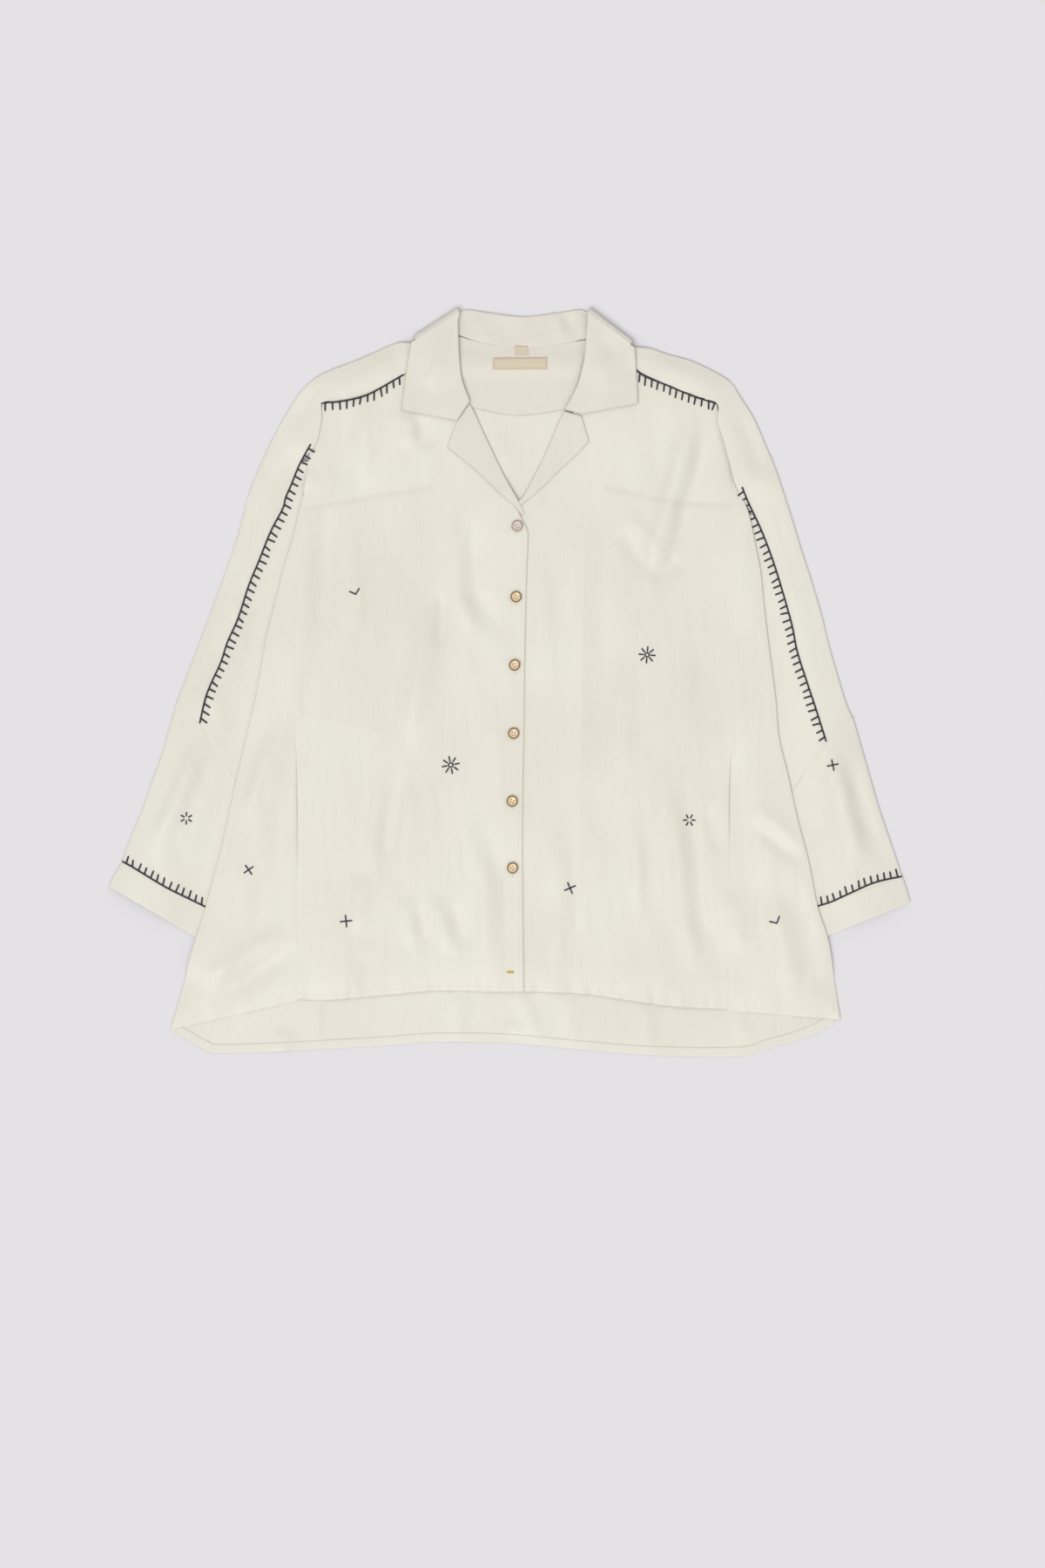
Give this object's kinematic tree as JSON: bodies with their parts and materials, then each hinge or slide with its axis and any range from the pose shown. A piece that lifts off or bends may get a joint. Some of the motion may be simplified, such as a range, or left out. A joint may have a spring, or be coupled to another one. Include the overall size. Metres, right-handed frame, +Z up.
{
  "type": "silk shirt",
  "caption": "Loose long-sleeved silk shirt with a notched collar and a buttoned front, laid flat on its back with its sleeves partly under its sides.",
  "frame": {"origin": "middle of the bounding box, on the surface that the shirt lies on", "axes": "+X to the viewer's right, across the sleeves; +Y towards the collar; +Z up, out of the front"},
  "size_m": [0.874, 0.8164, 0.011],
  "materials": {
    "silk": "soft ivory sheen",
    "collar_silk": "soft pinkish ivory sheen",
    "label_tape": "woven tape",
    "gold_button": "satin, darker rim",
    "shell_button": "gloss"
  },
  "bodies": {
    "root": {"back": "silk", "back_hem_band": "silk", "back_neck_facing": "silk", "button_1": "shell_button", "button_2": "gold_button", "button_3": "gold_button", "button_4": "gold_button", "button_5": "gold_button", "button_6": "gold_button", "collar": "collar_silk", "cuff_left": "silk", "cuff_right": "silk", "front_facing_left": "collar_silk", "front_facing_right": "collar_silk", "front_left": "silk", "front_right": "silk", "neck_label": "label_tape", "pocket_bag_left": "silk", "pocket_bag_right": "silk", "side_panel_left": "silk", "side_panel_right": "silk", "size_tab": "label_tape", "sleeve_lower_left": "silk", "sleeve_lower_right": "silk", "sleeve_under_left": "silk", "sleeve_under_right": "silk", "sleeve_upper_left": "silk", "sleeve_upper_right": "silk"}
  },
  "joints": []
}
